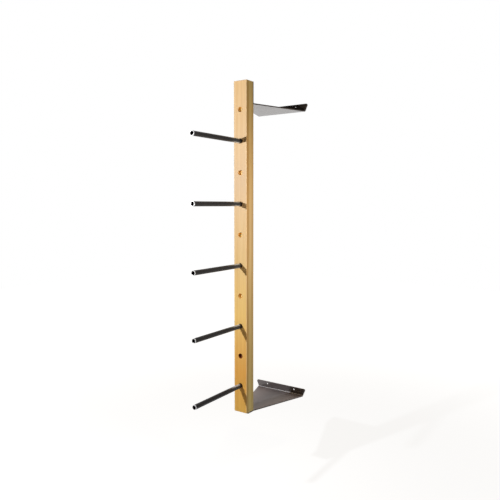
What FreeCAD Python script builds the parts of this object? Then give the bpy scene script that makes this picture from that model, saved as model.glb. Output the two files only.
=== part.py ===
import FreeCAD, Part
import math
import os

# Clamp rack: a wooden post held off a wall by two folded steel brackets, with
# steel tube pegs pushed into a column of sockets in its front face.
#
# Frame, in millimetres: X runs along the wall, +Y goes into the wall, +Z is up.
# The wall plane is Y = 0 and the pegs point towards -Y. The origin is midway
# between the two screw holes of the lower bracket, on the wall plane.

# ---------------------------------------------------------------- dimensions
INCH = 25.4

# post
POST_HEIGHT = 54 * INCH
POST_WIDTH = 2.5 * INCH
POST_DEPTH = 2 * INCH
POST_EDGE_RADIUS = 2.0
POST_END_CHAMFER = 1.0
WALL_GAP = 11 * INCH

# sockets and pegs
STATION_COUNT = 10
END_MARGIN = 4.5 * INCH
SOCKET_DEPTH = 0.5 * INCH
SOCKET_CLEARANCE = 0.08
SOCKET_MOUTH_CHAMFER = 0.8
VENT_RADIUS = 1.6
PEG_RADIUS = 0.375 * INCH
PEG_WALL = 1.65
PEG_REACH = 302.0
PEG_END_BREAK = 0.4
PEG_SEAT_GAP = 0.3

# brackets
SHEET = 4.76
BEND_RADIUS = 4.0
WALL_EDGE_WIDTH = 9.75 * INCH
WALL_FLANGE_HEIGHT = 30.0
FLANGE_CORNER_RADIUS = 6.0
UPPER_PLATE_DROP = 85.5
TONGUE_SETBACK = 12.0
TONGUE_CORNER_RADIUS = 3.0
WALL_SCREW_SPACING = 145.0
WALL_SCREW_HEIGHT = 19.0
LOWER_WALL_HOLE_RADIUS = 3.75
UPPER_WALL_HOLE_RADIUS = 2.25

# lag screws that hold the upper bracket to the back of the post
LAG_SHANK_RADIUS = 3.1
LAG_LENGTH = 36.0
LAG_HEAD_HEIGHT = 4.4
LAG_HEAD_FLATS = 11.1
LAG_SPACING = 37.0
LAG_LOWEST = 25.0
LAG_POINT_LENGTH = 6.0
WASHER_RADIUS = 8.0
WASHER_THICKNESS = 1.6
HOLE_CLEARANCE = 0.35
PILOT_CLEARANCE = 0.05

# flat-headed wood screws that hold the post down on the lower bracket
WOOD_SCREW_SHANK_RADIUS = 2.75
WOOD_SCREW_HEAD_RADIUS = 5.5
WOOD_SCREW_LENGTH = 50.0
WOOD_SCREW_SPACING = 32.0
WOOD_SCREW_POINT_LENGTH = 8.0
COUNTERSINK_HALF_ANGLE = 41.0
RECESS_SPAN = 5.2
RECESS_WIDTH = 1.1
RECESS_DEPTH = 2.0

# ------------------------------------------------------------ derived levels
POST_BOTTOM = -WALL_SCREW_HEIGHT
POST_TOP = POST_BOTTOM + POST_HEIGHT
POST_BACK = -WALL_GAP
POST_FRONT = POST_BACK - POST_DEPTH
STATION_PITCH = (POST_HEIGHT - 2 * END_MARGIN) / (STATION_COUNT - 1)
SOCKET_RADIUS = PEG_RADIUS + SOCKET_CLEARANCE
SOCKET_END = POST_FRONT + SOCKET_DEPTH
PEG_BORE_RADIUS = PEG_RADIUS - PEG_WALL
BEND_START = SHEET + BEND_RADIUS
UPPER_PLATE_TOP = POST_TOP - UPPER_PLATE_DROP
REBATE_FACE = POST_BACK - SHEET
REBATE_FLOOR = UPPER_PLATE_TOP - SHEET
LOWER_PLATE_TOP = POST_BOTTOM
TONGUE_FRONT = POST_FRONT + TONGUE_SETBACK
TONGUE_MIDDLE = (TONGUE_FRONT + POST_BACK) / 2

os.makedirs("parts", exist_ok=True)

V = FreeCAD.Vector
ALONG_Y = V(0, 1, 0)
ALONG_Z = V(0, 0, 1)


# ------------------------------------------------------------------- helpers
def save(shape, node):
    shape.exportStep("parts/" + node + ".step")


def station_height(index):
    """Height of a socket, counted from the lowest one."""
    return POST_BOTTOM + END_MARGIN + index * STATION_PITCH


def prism(points, sweep):
    """Closed polygon swept along a vector."""
    wire = Part.makePolygon(points + [points[0]])
    return Part.Face(wire).extrude(sweep)


def upright_edges(shape, test):
    """Straight edges that run along one axis and pass a test on their middle."""
    found = []
    for edge in shape.Edges:
        if test(edge.CenterOfMass, edge.tangentAt(edge.FirstParameter)):
            found.append(edge)
    return found


def arc(centre_y, centre_z, radius, from_angle, to_angle):
    """Arc in the plane of the fold, angles in degrees from +Y towards +Z."""
    points = []
    for angle in (from_angle, (from_angle + to_angle) / 2, to_angle):
        turn = math.radians(angle)
        points.append(V(0, centre_y + radius * math.cos(turn), centre_z + radius * math.sin(turn)))
    return Part.Arc(points[0], points[1], points[2]).toShape()


def joined(pieces):
    """Line segments added between arcs so that they make one closed face."""
    edges = []
    for index, piece in enumerate(pieces):
        following = pieces[(index + 1) % len(pieces)]
        edges.append(piece)
        start = piece.Vertexes[-1].Point
        end = following.Vertexes[0].Point
        if start.distanceToPoint(end) > 1e-6:
            edges.append(Part.makeLine(start, end))
    return Part.Face(Part.Wire(Part.__sortEdges__(edges)))


# ---------------------------------------------------------- folded brackets
def trimmed_to_outline(sheet, front, square_to, plate_top):
    """Cuts the folded sheet to its outline: straight beside the post, then
    tapering out to the wall, with the wall flange carrying the taper on."""
    half_post = POST_WIDTH / 2
    slope = (WALL_EDGE_WIDTH / 2 - half_post) / -square_to
    half_bend = WALL_EDGE_WIDTH / 2 - slope * BEND_START
    low = plate_top - SHEET
    rise = UPPER_PLATE_DROP + SHEET
    plan = prism(
        [
            V(-half_post, front, low),
            V(half_post, front, low),
            V(half_post, square_to, low),
            V(half_bend, -BEND_START, low),
            V(-half_bend, -BEND_START, low),
            V(-half_post, square_to, low),
        ],
        V(0, 0, rise),
    )
    flange_top_level = plate_top + WALL_FLANGE_HEIGHT
    half_top = WALL_EDGE_WIDTH / 2 + slope * WALL_FLANGE_HEIGHT
    flange = prism(
        [
            V(-half_bend, -BEND_START, low),
            V(half_bend, -BEND_START, low),
            V(half_bend, -BEND_START, plate_top),
            V(half_top, -BEND_START, flange_top_level),
            V(-half_top, -BEND_START, flange_top_level),
            V(-half_bend, -BEND_START, plate_top),
        ],
        V(0, BEND_START, 0),
    )
    shape = sheet.common(plan).fuse(sheet.common(flange)).removeSplitter()
    corners = upright_edges(
        shape,
        lambda c, t: abs(t.y) > 0.99 and c.y > -BEND_START and c.z > plate_top + WALL_FLANGE_HEIGHT - 1,
    )
    return shape.makeFillet(FLANGE_CORNER_RADIUS, corners)


def with_wall_holes(shape, plate_top, radius):
    for side in (-1, 1):
        start = V(side * WALL_SCREW_SPACING / 2, -BEND_START, plate_top + WALL_SCREW_HEIGHT)
        shape = shape.cut(Part.makeCylinder(radius, 2 * BEND_START, start, ALONG_Y))
    return shape


def swept_fold(face):
    """The folded section made wide enough to be cut to any outline."""
    width = 2 * WALL_EDGE_WIDTH
    face.translate(V(-width / 2, 0, 0))
    return face.extrude(V(width, 0, 0))


def wall_fold(plate_top):
    """Two arcs of the fold at the wall, outer one first."""
    outer = arc(-BEND_START, plate_top + BEND_RADIUS, BEND_START, -90, 0)
    inner = arc(-BEND_START, plate_top + BEND_RADIUS, BEND_RADIUS, 0, -90)
    return outer, inner


def flange_top(near, far, height):
    return Part.makeLine(V(0, near, height), V(0, far, height))


def make_upper_bracket():
    """Its post flange lies in a rebate, flush with the back of the post."""
    top = UPPER_PLATE_TOP
    outer, inner = wall_fold(top)
    wall_top = flange_top(0, -SHEET, top + WALL_FLANGE_HEIGHT)
    fold_y = REBATE_FACE + BEND_START
    post_inner = arc(fold_y, top + BEND_RADIUS, BEND_RADIUS, 270, 180)
    post_top = flange_top(POST_BACK, REBATE_FACE, POST_TOP)
    post_outer = arc(fold_y, top + BEND_RADIUS, BEND_START, 180, 270)
    section = joined([outer, wall_top, inner, post_inner, post_top, post_outer])
    shape = trimmed_to_outline(swept_fold(section), REBATE_FACE, fold_y, top)
    for height in lag_heights():
        start = V(0, REBATE_FACE - 1, height)
        hole = Part.makeCylinder(LAG_SHANK_RADIUS + HOLE_CLEARANCE, SHEET + 2, start, ALONG_Y)
        shape = shape.cut(hole)
    return with_wall_holes(shape, top, UPPER_WALL_HOLE_RADIUS)


def make_lower_bracket():
    top = LOWER_PLATE_TOP
    outer, inner = wall_fold(top)
    wall_top = flange_top(0, -SHEET, top + WALL_FLANGE_HEIGHT)
    tongue_end = Part.makeLine(V(0, TONGUE_FRONT, top), V(0, TONGUE_FRONT, top - SHEET))
    section = joined([outer, wall_top, inner, tongue_end])
    shape = trimmed_to_outline(swept_fold(section), TONGUE_FRONT, POST_BACK, top)
    corners = upright_edges(shape, lambda c, t: abs(t.z) > 0.99 and c.y < TONGUE_FRONT + 0.1)
    shape = shape.makeFillet(TONGUE_CORNER_RADIUS, corners)
    for x in wood_screw_places():
        shape = shape.cut(countersunk_hole(x, top - SHEET))
    return with_wall_holes(shape, top, LOWER_WALL_HOLE_RADIUS)


# ----------------------------------------------------------------- fasteners
def lag_heights():
    return [UPPER_PLATE_TOP + LAG_LOWEST, UPPER_PLATE_TOP + LAG_LOWEST + LAG_SPACING]


def wood_screw_places():
    return [-WOOD_SCREW_SPACING / 2, WOOD_SCREW_SPACING / 2]


def cone_depth(wide, narrow):
    return (wide - narrow) / math.tan(math.radians(COUNTERSINK_HALF_ANGLE))


def countersunk_hole(x, underside):
    """Clearance hole with a conical seat, opening downwards."""
    wide = WOOD_SCREW_HEAD_RADIUS + HOLE_CLEARANCE / 2
    narrow = WOOD_SCREW_SHANK_RADIUS + HOLE_CLEARANCE / 2
    start = V(x, TONGUE_MIDDLE, underside)
    seat = Part.makeCone(wide, narrow, cone_depth(wide, narrow), start, ALONG_Z)
    through = Part.makeCylinder(narrow, SHEET + 1, start, ALONG_Z)
    return seat.fuse(through)


def pointed_shank(radius, length, point_length):
    """Plain shank along +Z that ends in a blunt point."""
    body = Part.makeCylinder(radius, length - point_length)
    tip = Part.makeCone(radius, radius * 0.25, point_length, V(0, 0, length - point_length), ALONG_Z)
    return body.fuse(tip)


def make_lag_screw(height):
    """Hexagon head outside the washer, shank through the flange into the post."""
    corner = LAG_HEAD_FLATS / 2 / math.cos(math.pi / 6)
    points = []
    for index in range(6):
        turn = index * math.pi / 3
        points.append(V(corner * math.cos(turn), corner * math.sin(turn), -LAG_HEAD_HEIGHT))
    head = prism(points, V(0, 0, LAG_HEAD_HEIGHT))
    crown = Part.makeCone(LAG_HEAD_FLATS / 2, corner + LAG_HEAD_HEIGHT, LAG_HEAD_HEIGHT * 2.2,
                          V(0, 0, -LAG_HEAD_HEIGHT), ALONG_Z)
    screw = head.common(crown).fuse(pointed_shank(LAG_SHANK_RADIUS, LAG_LENGTH, LAG_POINT_LENGTH))
    screw.rotate(V(0, 0, 0), V(1, 0, 0), 90)
    screw.translate(V(0, POST_BACK + WASHER_THICKNESS, height))
    return screw


def make_washer(height):
    start = V(0, POST_BACK, height)
    disc = Part.makeCylinder(WASHER_RADIUS, WASHER_THICKNESS, start, ALONG_Y)
    hole = Part.makeCylinder(LAG_SHANK_RADIUS + HOLE_CLEARANCE, WASHER_THICKNESS, start, ALONG_Y)
    return disc.cut(hole)


def make_wood_screw(x):
    """Flat head flush with the underside of the tongue, with a cross recess."""
    depth = cone_depth(WOOD_SCREW_HEAD_RADIUS, WOOD_SCREW_SHANK_RADIUS)
    head = Part.makeCone(WOOD_SCREW_HEAD_RADIUS, WOOD_SCREW_SHANK_RADIUS, depth)
    shank = pointed_shank(WOOD_SCREW_SHANK_RADIUS, WOOD_SCREW_LENGTH, WOOD_SCREW_POINT_LENGTH)
    screw = head.fuse(shank)
    half_span = RECESS_SPAN / 2
    half_width = RECESS_WIDTH / 2
    for quarter in (0, 90):
        slot = prism(
            [V(-half_span, 0, 0), V(half_span, 0, 0), V(half_width, 0, RECESS_DEPTH),
             V(-half_width, 0, RECESS_DEPTH)],
            V(0, RECESS_WIDTH, 0),
        )
        slot.translate(V(0, -half_width, 0))
        slot.rotate(V(0, 0, 0), ALONG_Z, quarter)
        screw = screw.cut(slot)
    screw.translate(V(x, TONGUE_MIDDLE, LOWER_PLATE_TOP - SHEET))
    return screw


# ------------------------------------------------------------- post and pegs
def socket_tool(height):
    """Flat-bottomed socket with a slightly chamfered mouth, and the small hole
    that the point of the bit leaves through the back, which lets the air out."""
    mouth = V(0, POST_FRONT, height)
    bore = Part.makeCylinder(SOCKET_RADIUS, SOCKET_DEPTH, mouth, ALONG_Y)
    flare = Part.makeCone(SOCKET_RADIUS + SOCKET_MOUTH_CHAMFER, SOCKET_RADIUS, SOCKET_MOUTH_CHAMFER,
                          mouth, ALONG_Y)
    vent = Part.makeCylinder(VENT_RADIUS, POST_DEPTH, mouth, ALONG_Y)
    return bore.fuse(flare).fuse(vent)


def flange_rebate():
    """Shallow step across the back of the post, open at the top, as deep as the sheet."""
    corner = V(-POST_WIDTH, REBATE_FACE, REBATE_FLOOR)
    return Part.makeBox(2 * POST_WIDTH, 2 * SHEET, POST_TOP + SHEET - REBATE_FLOOR, corner)


def make_post():
    post = Part.makeBox(POST_WIDTH, POST_DEPTH, POST_HEIGHT, V(-POST_WIDTH / 2, POST_FRONT, POST_BOTTOM))
    post = post.makeFillet(POST_EDGE_RADIUS, upright_edges(post, lambda c, t: abs(t.z) > 0.99))
    ends = upright_edges(post, lambda c, t: abs(abs(c.z - (POST_TOP + POST_BOTTOM) / 2) - POST_HEIGHT / 2) < 0.01)
    post = post.makeChamfer(POST_END_CHAMFER, ends)
    post = post.cut(flange_rebate())
    for index in range(STATION_COUNT):
        post = post.cut(socket_tool(station_height(index)))
    for height in lag_heights():
        pilot = pointed_shank(LAG_SHANK_RADIUS + PILOT_CLEARANCE, LAG_LENGTH, LAG_POINT_LENGTH)
        pilot.rotate(V(0, 0, 0), V(1, 0, 0), 90)
        pilot.translate(V(0, POST_BACK + WASHER_THICKNESS, height))
        post = post.cut(pilot)
    for x in wood_screw_places():
        pilot = pointed_shank(WOOD_SCREW_SHANK_RADIUS + PILOT_CLEARANCE, WOOD_SCREW_LENGTH,
                              WOOD_SCREW_POINT_LENGTH)
        pilot.translate(V(x, TONGUE_MIDDLE, LOWER_PLATE_TOP - SHEET))
        post = post.cut(pilot)
    return post


def make_peg(height):
    """Open tube, seated almost on the bottom of its socket."""
    inner_end = SOCKET_END - PEG_SEAT_GAP
    tip = POST_FRONT - PEG_REACH
    start = V(0, tip, height)
    tube = Part.makeCylinder(PEG_RADIUS, inner_end - tip, start, ALONG_Y)
    bore = Part.makeCylinder(PEG_BORE_RADIUS, inner_end - tip, start, ALONG_Y)
    tube = tube.cut(bore)
    rims = []
    for edge in tube.Edges:
        if isinstance(edge.Curve, Part.Circle) and abs(edge.Curve.Radius - PEG_RADIUS) < 0.01:
            rims.append(edge)
    return tube.makeChamfer(PEG_END_BREAK, rims)


# --------------------------------------------------------------------- build
save(make_post(), "post")
save(make_upper_bracket(), "upper_bracket")
save(make_lower_bracket(), "lower_bracket")

peg_stations = range(STATION_COUNT - 2, -1, -2)
for number, station in enumerate(peg_stations, start=1):
    save(make_peg(station_height(station)), "peg_" + str(number))

for number, height in enumerate(reversed(lag_heights()), start=1):
    save(make_lag_screw(height), "lag_screw_" + str(number))
    save(make_washer(height), "lag_washer_" + str(number))

for number, x in enumerate(wood_screw_places(), start=1):
    save(make_wood_screw(x), "wood_screw_" + str(number))
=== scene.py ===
# %% [markdown]
# # A clamp rack around its CAD frame
# The real object is a wooden post that two folded steel brackets hold off a wall. Ten sockets
# run down the front of the post, and a steel tube stands in every second one. Long clamps hang
# across the tubes. The CAD model already fixes every size and place, so this script only asks
# it where each part is, and then makes a finer mesh and a finish for that place.

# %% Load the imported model
import bmesh
import bpy
import math
from mathutils import Matrix, Vector


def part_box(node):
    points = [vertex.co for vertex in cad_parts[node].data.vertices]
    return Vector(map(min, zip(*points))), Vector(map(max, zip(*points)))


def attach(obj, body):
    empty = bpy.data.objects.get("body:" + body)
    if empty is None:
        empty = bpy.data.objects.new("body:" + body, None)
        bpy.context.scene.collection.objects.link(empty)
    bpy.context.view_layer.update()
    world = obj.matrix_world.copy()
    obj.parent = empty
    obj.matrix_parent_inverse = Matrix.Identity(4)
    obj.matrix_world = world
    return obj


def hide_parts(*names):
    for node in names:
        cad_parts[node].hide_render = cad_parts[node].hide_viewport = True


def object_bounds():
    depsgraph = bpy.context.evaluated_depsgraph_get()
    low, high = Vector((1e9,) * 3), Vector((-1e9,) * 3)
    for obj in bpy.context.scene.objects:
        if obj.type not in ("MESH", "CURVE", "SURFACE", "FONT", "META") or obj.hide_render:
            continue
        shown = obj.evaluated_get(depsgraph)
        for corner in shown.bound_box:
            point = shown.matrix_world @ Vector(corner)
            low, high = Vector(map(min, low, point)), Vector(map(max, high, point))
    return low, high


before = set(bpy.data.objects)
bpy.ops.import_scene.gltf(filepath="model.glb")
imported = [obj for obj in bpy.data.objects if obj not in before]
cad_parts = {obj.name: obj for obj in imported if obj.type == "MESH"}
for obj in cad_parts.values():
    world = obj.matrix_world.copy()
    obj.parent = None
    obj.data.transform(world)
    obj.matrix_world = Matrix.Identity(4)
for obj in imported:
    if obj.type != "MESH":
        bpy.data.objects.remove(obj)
cad_low, cad_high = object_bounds()
print("CAD box in metres", [round(v, 4) for v in (*cad_low, *cad_high)])

# %% [markdown]
# ## The camera
# A tall thin object looks natural from far away with a mild lens. The camera stands in front
# of the post and to its right, a little above the middle of its height, and looks slightly
# down at that middle. The dip is small, so the post's long edges stay nearly parallel and no
# lens shift is needed.

# %% Place the camera
CAMERA_PLACE = (1.2880, -2.1570, 0.8522)
CAMERA_TURN = math.radians(34.162)
CAMERA_DIP = math.radians(4.709)
CAMERA_LENS = 39.16

scene = bpy.context.scene
camera = bpy.data.objects.new("camera", bpy.data.cameras.new("camera"))
scene.collection.objects.link(camera)
camera.location = CAMERA_PLACE
camera.rotation_euler = (math.radians(90) - CAMERA_DIP, 0, CAMERA_TURN)
camera.data.lens = CAMERA_LENS
scene.camera = camera
scene.view_settings.view_transform = "Standard"
print("camera", [round(v, 3) for v in camera.location], "lens", camera.data.lens)

# %% [markdown]
# ## Helpers for node trees
# Materials and Geometry Nodes are built from the same kind of node, so one helper serves
# both. A value that is another node's socket is linked, and anything else is written on the
# input. That keeps each tree as short to read as the formula behind it.


# %% Helpers that add nodes
def put(tree, kind, values=None, **settings):
    """Adds one node with its settings, and fills or links the inputs that are named."""
    made = tree.nodes.new(kind)
    for setting, choice in settings.items():
        setattr(made, setting, choice)
    for key, value in (values or {}).items():
        for source in value if isinstance(value, list) else [value]:
            if isinstance(source, bpy.types.NodeSocket):
                tree.links.new(source, made.inputs[key])
            else:
                made.inputs[key].default_value = source
    return made


def calc(tree, operation, *values):
    """One sum on numbers."""
    return put(tree, "ShaderNodeMath", dict(enumerate(values)), operation=operation).outputs[0]


def vector_calc(tree, operation, *values):
    """One sum on vectors, which gives a vector or, for a length or dot product, a number."""
    made = put(tree, "ShaderNodeVectorMath", dict(enumerate(values)), operation=operation)
    return made.outputs["Value" if operation in ("DOT_PRODUCT", "LENGTH") else "Vector"]


def plus(tree, first, second):
    """The sum of two numbers."""
    return calc(tree, "ADD", first, second)


def times(tree, first, second):
    """The product of two numbers."""
    return calc(tree, "MULTIPLY", first, second)


def at(tree, x=0.0, y=0.0, z=0.0):
    """A vector whose parts may be sockets."""
    return put(tree, "ShaderNodeCombineXYZ", {0: x, 1: y, 2: z}).outputs[0]


def parts(tree, vector):
    """The X, Y and Z of a vector."""
    return put(tree, "ShaderNodeSeparateXYZ", {0: vector}).outputs


def facing_of(tree):
    """The X, Y and Z of the direction that the surface faces."""
    return parts(tree, put(tree, "ShaderNodeNewGeometry").outputs["Normal"])


# %% [markdown]
# ## Pattern helpers
# Every finish here is a few layers of noise in the object's own metres, stretched along the
# grain or the rolling direction. These helpers name the layers: a noise, a remapped range, a
# mix of two colours, and a ramp of several.


# %% Helpers for patterns
def noise(tree, place, stretch, detail=3.0, roughness=0.5, output="Fac"):
    """Noise whose scale is given for each direction, in cycles per metre."""
    scaled = vector_calc(tree, "MULTIPLY", place, stretch)
    values = {"Vector": scaled, "Scale": 1.0, "Detail": detail, "Roughness": roughness}
    return put(tree, "ShaderNodeTexNoise", values).outputs[output]


def remap(tree, value, from_low, from_high, to_low=0.0, to_high=1.0, smooth=False):
    """Carries a number from one range to another and clamps it there."""
    values = {"Value": value, "From Min": from_low, "From Max": from_high}
    values.update({"To Min": to_low, "To Max": to_high})
    kind = "SMOOTHSTEP" if smooth else "LINEAR"
    return put(tree, "ShaderNodeMapRange", values, interpolation_type=kind).outputs["Result"]


def beyond(tree, value, edge, start, end, *to, smooth=False):
    """Changes between two distances past an edge, or before it if they are negative."""
    return remap(tree, value, edge + start, edge + end, *to, smooth=smooth)


def weighed(tree, first, share, second, other_share):
    """The sum of two patterns, each times its share."""
    return plus(tree, times(tree, first, share), times(tree, second, other_share))


def mix(tree, amount, first, second, blend="MIX"):
    """Mixes two colours by an amount."""
    settings = {"data_type": "RGBA", "blend_type": blend}
    return put(tree, "ShaderNodeMix", {0: amount, 6: first, 7: second}, **settings).outputs[2]


def colour(red, green, blue):
    """A screen colour, 0 to 255, as the linear one that shaders work in."""
    linear = []
    for part in (red / 255, green / 255, blue / 255):
        linear.append(part / 12.92 if part <= 0.04045 else ((part + 0.055) / 1.055) ** 2.4)
    return (*linear, 1.0)


def ramp(tree, amount, stops):
    """A curve through stops of (place, value), where a value is a brightness or a colour."""
    made = put(tree, "ShaderNodeValToRGB", {"Fac": amount})
    elements = made.color_ramp.elements
    while len(elements) < len(stops):
        elements.new(0.5)
    for element, (place, value) in zip(elements, stops):
        element.position = place
        element.color = value if isinstance(value, tuple) else (value, value, value, 1.0)
    return made.outputs["Color"]


def new_finish(name, **sockets):
    """An empty finish with its shader. What is the same all over is set on the shader."""
    finish = bpy.data.materials.new(name)
    finish.use_nodes = True
    tree = finish.node_tree
    tree.nodes.clear()
    shader = put(tree, "ShaderNodeBsdfPrincipled")
    for socket, value in sockets.items():
        shader.inputs[socket.replace("_", " ")].default_value = value
    put(tree, "ShaderNodeOutputMaterial", {"Surface": shader.outputs[0]})
    place = put(tree, "ShaderNodeTexCoord").outputs["Object"]
    return finish, tree, shader, place


def drive(tree, shader, **patterns):
    """Links patterns to inputs of the shader."""
    for socket, pattern in patterns.items():
        tree.links.new(pattern, shader.inputs[socket.replace("_", " ")])


def bump(tree, shader, height, depth):
    """Relief of a real depth in metres."""
    made = put(tree, "ShaderNodeBump", {"Height": height, "Distance": depth, "Strength": 1.0})
    tree.links.new(made.outputs["Normal"], shader.inputs["Normal"])


# %% [markdown]
# ## The stage
# The rack hangs on a wall in use, so its foot is off the ground. Here it hangs over a plain
# pale floor in a white studio. The camera sees the world white all round. As a light the world
# is warm, bright where the backdrop stands behind the rack and dim elsewhere. Reflections see
# the backdrop white and wider, and that is what gives dark steel its one bright side. The
# floor glows to the camera, so lit floor meets the white world with no line, and still shows
# where the rack keeps the lamp off.

# %% World with a white backdrop
BACKDROP_SIDE = (-0.48, 0.87, 0.1)
OPEN_SIDE = (0.8, 0.6, 0.0)
BACKDROP_LIGHT = 0.75
OPEN_LIGHT = 0.22
FRONT_LIGHT = 0.03
WARM_ROOM = (1.0, 0.76, 0.48, 1.0)
BACKDROP_EDGE, MIRROR_EDGE, OPEN_EDGE = (0.45, 0.80), (0.05, 0.60), (-0.5, 0.9)

world = bpy.data.worlds.new("white_studio")
world.use_nodes = True
scene.world = world
tree = world.node_tree
tree.nodes.clear()
direction = put(tree, "ShaderNodeTexCoord").outputs["Generated"]
rays = put(tree, "ShaderNodeLightPath").outputs
facing_backdrop = vector_calc(tree, "DOT_PRODUCT", direction, BACKDROP_SIDE)
facing_open = vector_calc(tree, "DOT_PRODUCT", direction, OPEN_SIDE)
backdrop = remap(tree, facing_backdrop, *BACKDROP_EDGE, smooth=True)
room = remap(tree, facing_open, *OPEN_EDGE, FRONT_LIGHT, OPEN_LIGHT, smooth=True)
light = calc(tree, "MAXIMUM", room, times(tree, backdrop, BACKDROP_LIGHT))
wide = remap(tree, facing_backdrop, *MIRROR_EDGE, smooth=True)
mirrored = times(tree, rays["Is Glossy Ray"], wide)
seen = calc(tree, "MAXIMUM", rays["Is Camera Ray"], rays["Is Transmission Ray"])
strength = calc(tree, "MAXIMUM", light, calc(tree, "MAXIMUM", seen, mirrored))
white = calc(tree, "MAXIMUM", seen, rays["Is Glossy Ray"])
tint = mix(tree, white, WARM_ROOM, (1, 1, 1, 1))
background = put(tree, "ShaderNodeBackground", {"Color": tint, "Strength": strength})
put(tree, "ShaderNodeOutputWorld", {"Surface": background.outputs[0]})
print("world", world.name)

# %% Floor
FLOOR_DROP = 0.33
FLOOR_REACH = 6.0
FLOOR_GLOW = 0.86
SWEEP_START, SWEEP_END = 0.7, 2.6
FLOOR_PALE = (0.32, 0.34, 0.37, 1.0)
FLOOR_PAINT = (0.6, 0.6, 0.6, 1.0)

floor_mesh = bpy.data.meshes.new("floor")
corners = [(-1, -1), (1, -1), (1, 1), (-1, 1)]
level = cad_low.z - FLOOR_DROP
floor_points = [(x * FLOOR_REACH, y * FLOOR_REACH, level) for x, y in corners]
floor_mesh.from_pydata(floor_points, [], [(0, 1, 2, 3)])
floor = bpy.data.objects.new("floor", floor_mesh)
scene.collection.objects.link(floor)

floor_paint = bpy.data.materials.new("pale_floor")
floor_paint.use_nodes = True
tree = floor_paint.node_tree
tree.nodes.clear()
rays = put(tree, "ShaderNodeLightPath").outputs
painted = put(tree, "ShaderNodeBsdfDiffuse", {"Color": FLOOR_PAINT})
pale = put(tree, "ShaderNodeBsdfDiffuse", {"Color": FLOOR_PALE})
from_rack = vector_calc(tree, "LENGTH", put(tree, "ShaderNodeTexCoord").outputs["Object"])
sweep = remap(tree, from_rack, SWEEP_START, SWEEP_END, FLOOR_GLOW, 1.0, smooth=True)
glow = put(tree, "ShaderNodeEmission", {"Color": (1, 1, 1, 1), "Strength": sweep})
shown = put(tree, "ShaderNodeAddShader", {0: pale.outputs[0], 1: glow.outputs[0]})
looking = calc(tree, "MAXIMUM", rays["Is Camera Ray"], rays["Is Glossy Ray"])
by_ray = put(tree, "ShaderNodeMixShader", {0: looking, 1: painted.outputs[0], 2: shown.outputs[0]})
below = put(tree, "ShaderNodeNewGeometry").outputs["Backfacing"]
clear = put(tree, "ShaderNodeBsdfTransparent")
both = put(tree, "ShaderNodeMixShader", {0: below, 1: by_ray.outputs[0], 2: clear.outputs[0]})
put(tree, "ShaderNodeOutputMaterial", {"Surface": both.outputs[0]})
floor_mesh.materials.append(floor_paint)
print("floor at", round(level, 3))

# %% [markdown]
# ## The lamps
# The key is one small softbox in front of the rack and to its left, about three quarters of
# the way up. It is small, so a tube's shadow on the post keeps a clear edge, and it is close,
# so the light weakens towards the foot. A weaker, warmer and larger fill stands close on the
# right, a little above half height. It opens up the shaded side of the post and the sockets,
# most at its own height.

# %% Softboxes
KEY_PLACE = Vector((-0.455, -1.70, 1.017))
KEY_AIM = Vector((0.0, -0.30, 0.70))
KEY_SIZE = 0.06
KEY_POWER = 19.2
FILL_PLACE = Vector((0.56, -0.44, 0.80))
FILL_AIM = Vector((0.0, -0.33, 0.75))
FILL_SIZE = 0.16
FILL_TINT = (1.0, 0.80, 0.54)
FILL_POWER = 2.36


def softbox(name, place, aim, size, power, tint=(1.0, 1.0, 1.0)):
    """A round area lamp that the camera doesn't see."""
    made = bpy.data.objects.new(name, bpy.data.lights.new(name, "AREA"))
    scene.collection.objects.link(made)
    made.data.shape = "DISK"
    made.data.size = size
    made.data.energy = power
    made.data.color = tint
    made.location = place
    made.rotation_euler = (aim - place).to_track_quat("-Z", "Y").to_euler()
    made.visible_camera = False
    print(name, power, "W")


softbox("key_softbox", KEY_PLACE, KEY_AIM, KEY_SIZE, KEY_POWER)
softbox("fill_softbox", FILL_PLACE, FILL_AIM, FILL_SIZE, FILL_POWER, FILL_TINT)

# %% [markdown]
# ## Places taken from the CAD
# Each CAD node's box says where it is, so the sizes below are read and not copied. Only what a
# box can't tell, such as the depth of a socket, is written as a number.

# %% Read the places
post_low, post_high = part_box("post")
upper_low, upper_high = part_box("upper_bracket")
lower_low, lower_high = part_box("lower_bracket")
peg_nodes = sorted(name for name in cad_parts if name.startswith("peg_"))
peg_heights = []
for node in peg_nodes:
    low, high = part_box(node)
    peg_heights.append((low.z + high.z) / 2)
peg_low, peg_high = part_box(peg_nodes[-1])
PEG_RADIUS = (peg_high.z - peg_low.z) / 2
SOCKET_COUNT = 2 * len(peg_nodes)
SOCKET_PITCH = (peg_heights[0] - peg_heights[-1]) / (SOCKET_COUNT - 2)
SOCKET_RADIUS = 0.009605
SOCKET_DEPTH = 0.0127
VENT_RADIUS = 0.0016
SHEET = 0.00476
print("pegs at", [round(height, 4) for height in peg_heights])
print("socket pitch", round(SOCKET_PITCH, 4), "peg radius", round(PEG_RADIUS, 5))
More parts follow.
